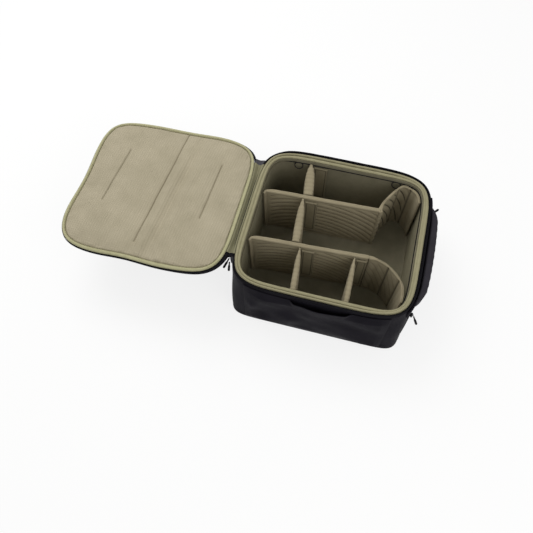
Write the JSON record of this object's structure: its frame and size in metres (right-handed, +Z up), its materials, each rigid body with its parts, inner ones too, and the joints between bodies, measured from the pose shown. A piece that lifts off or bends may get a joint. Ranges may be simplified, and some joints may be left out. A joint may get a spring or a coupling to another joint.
{
  "type": "camera bag insert",
  "caption": "Padded camera bag insert: a soft-walled tub with a zipped lid, a side access door, a grab handle and movable padded dividers.",
  "frame": {"origin": "centre of the flat underside of the tub, which is the plane that the part stands on", "axes": "+Z up; the open lid lies on the -X side, the side door and grab handle are on the +X side, the front pocket faces -Y"},
  "size_m": [0.6343, 0.2914, 0.1425],
  "materials": {
    "black_nylon": "coated woven nylon",
    "hem_nylon": "coated nylon, slightly lighter",
    "foam": "closed-cell foam",
    "board": "smooth plastic sheet",
    "olive_lining": "brushed loop lining",
    "olive_binding": "woven binding",
    "beige_padding": "quilted padding with a brushed face",
    "zip_tape": "woven zip tape",
    "grey_tape": "woven tape",
    "zip_coil": "nylon coil",
    "black_cord": "braided cord",
    "slider_metal": "dark painted die-cast metal"
  },
  "bodies": {
    "tub": {"bottom_hem": "hem_nylon", "stiffener_board": "board", "floor_foam": "foam", "outer_shell": "black_nylon", "foam_right": "foam", "foam_far": "foam", "foam_left": "foam", "foam_near": "foam", "lining": "olive_lining", "rim_piping": "olive_binding", "rim_facing": "olive_binding", "tub_zip_tape": "zip_tape", "tub_zip_coil": "zip_coil", "lining_cord_line": "black_cord", "cord_loop_left": "black_cord", "cord_loop_right": "black_cord", "front_pocket": "black_nylon", "side_zip_frame": "zip_tape", "side_zip_coil": "zip_coil", "grab_handle": "black_nylon", "handle_end_far": "black_nylon", "handle_end_near": "black_nylon", "hinge_gusset": "olive_binding", "hinge_backing": "black_nylon", "zip_end_tab_far": "grey_tape", "zip_end_tab_near": "zip_tape", "side_door_hinge_strip": "black_nylon"},
    "lid": {"lid_piping": "olive_binding", "lid_lining": "beige_padding", "lid_foam": "foam", "lid_shell": "black_nylon", "lid_zip_tape": "zip_tape"},
    "side_door": {"side_door_shell": "black_nylon", "side_door_foam": "foam", "side_door_lining": "olive_lining", "side_door_zip_tape": "zip_tape"},
    "side_slider_far": {"side_zip_slider_far": "slider_metal"},
    "side_pull_far": {"side_zip_pull_far": "black_cord"},
    "side_slider_near": {"side_zip_slider_near": "slider_metal"},
    "side_pull_near": {"side_zip_pull_near": "black_cord"},
    "lid_slider": {"lid_zip_slider": "slider_metal"},
    "lid_pull_1": {"lid_zip_pull_1": "black_cord"},
    "lid_pull_2": {"lid_zip_pull_2": "black_cord"},
    "divider_far": {"divider_far_end_flap": "beige_padding", "divider_far_panel": "beige_padding", "divider_far_flare": "beige_padding"},
    "divider_far_tip": {"divider_far_tip": "beige_padding"},
    "divider_near": {"divider_near_end_flap": "beige_padding", "divider_near_panel": "beige_padding", "divider_near_flare": "beige_padding"},
    "divider_near_tip": {"divider_near_tip": "beige_padding"},
    "short_divider_1": {"short_divider_1": "beige_padding", "short_divider_1_hook": "beige_padding"},
    "short_divider_2": {"short_divider_2": "beige_padding", "short_divider_2_hook": "beige_padding"},
    "short_divider_3": {"short_divider_3": "beige_padding", "short_divider_3_hook": "beige_padding"},
    "short_divider_4": {"short_divider_4": "beige_padding", "short_divider_4_hook": "beige_padding"}
  },
  "joints": [
    {"name": "lid_hinge", "type": "hinge", "parent": "tub", "child": "lid", "pos_m": [-0.1557, 0, 0.1428], "axis": [0, -1, 0], "range_deg": [-181.5, 0], "deforming": ["hinge_gusset", "hinge_backing", "zip_end_tab_far", "zip_end_tab_near"]},
    {"name": "side_door_hinge", "type": "hinge", "parent": "tub", "child": "side_door", "pos_m": [0.1548, 0, 0.0148], "axis": [0, 1, 0], "range_deg": [0, 90], "deforming": ["side_door_hinge_strip"]},
    {"name": "side_slider_far_slide", "type": "slide", "parent": "tub", "child": "side_slider_far", "axis": [0.0206, 0, -0.9998], "range_m": [0, 0.072]},
    {"name": "side_slider_near_slide", "type": "slide", "parent": "tub", "child": "side_slider_near", "axis": [0.0418, 0, -0.9991], "range_m": [0, 0.072]},
    {"name": "side_pull_far_hinge", "type": "hinge", "parent": "side_slider_far", "child": "side_pull_far", "pos_m": [0.16014, 0.0925, 0.098], "axis": [0, 1, 0], "range_deg": [0, 125]},
    {"name": "side_pull_near_hinge", "type": "hinge", "parent": "side_slider_near", "child": "side_pull_near", "pos_m": [0.15806, -0.1045, 0.098], "axis": [0, 1, 0], "range_deg": [-110, 0]},
    {"name": "lid_slider_run", "type": "hinge", "parent": "tub", "child": "lid_slider", "pos_m": [-0.0945, -0.0812, 0.1425], "axis": [0, 0, 1], "range_deg": [0, 68]},
    {"name": "lid_pull_1_hinge", "type": "hinge", "parent": "lid_slider", "child": "lid_pull_1", "pos_m": [-0.15424, -0.09884, 0.1417], "axis": [0.3336, -0.9427, 0], "range_deg": [-15, 15]},
    {"name": "lid_pull_2_hinge", "type": "hinge", "parent": "lid_slider", "child": "lid_pull_2", "pos_m": [-0.15204, -0.10506, 0.1417], "axis": [0.3336, -0.9427, 0], "range_deg": [-15, 15]},
    {"name": "divider_far_lift", "type": "slide", "parent": "tub", "child": "divider_far", "axis": [0, 0, 1], "range_m": [0, 0.14]},
    {"name": "divider_far_tip_hinge", "type": "hinge", "parent": "divider_far", "child": "divider_far_tip", "pos_m": [0.11291, 0.10851, 0.0141], "axis": [0, 0, 1], "range_deg": [-25, 0]},
    {"name": "divider_near_lift", "type": "slide", "parent": "tub", "child": "divider_near", "axis": [0, 0, 1], "range_m": [0, 0.14]},
    {"name": "divider_near_tip_hinge", "type": "hinge", "parent": "divider_near", "child": "divider_near_tip", "pos_m": [0.11781, -0.06827, 0.0141], "axis": [0, 0, 1], "range_deg": [-25, 0]},
    {"name": "short_divider_1_lift", "type": "slide", "parent": "tub", "child": "short_divider_1", "axis": [0, 0, 1], "range_m": [0, 0.14]},
    {"name": "short_divider_2_lift", "type": "slide", "parent": "tub", "child": "short_divider_2", "axis": [0, 0, 1], "range_m": [0, 0.14]},
    {"name": "short_divider_3_lift", "type": "slide", "parent": "tub", "child": "short_divider_3", "axis": [0, 0, 1], "range_m": [0, 0.14]},
    {"name": "short_divider_4_lift", "type": "slide", "parent": "tub", "child": "short_divider_4", "axis": [0, 0, 1], "range_m": [0, 0.14]}
  ]
}
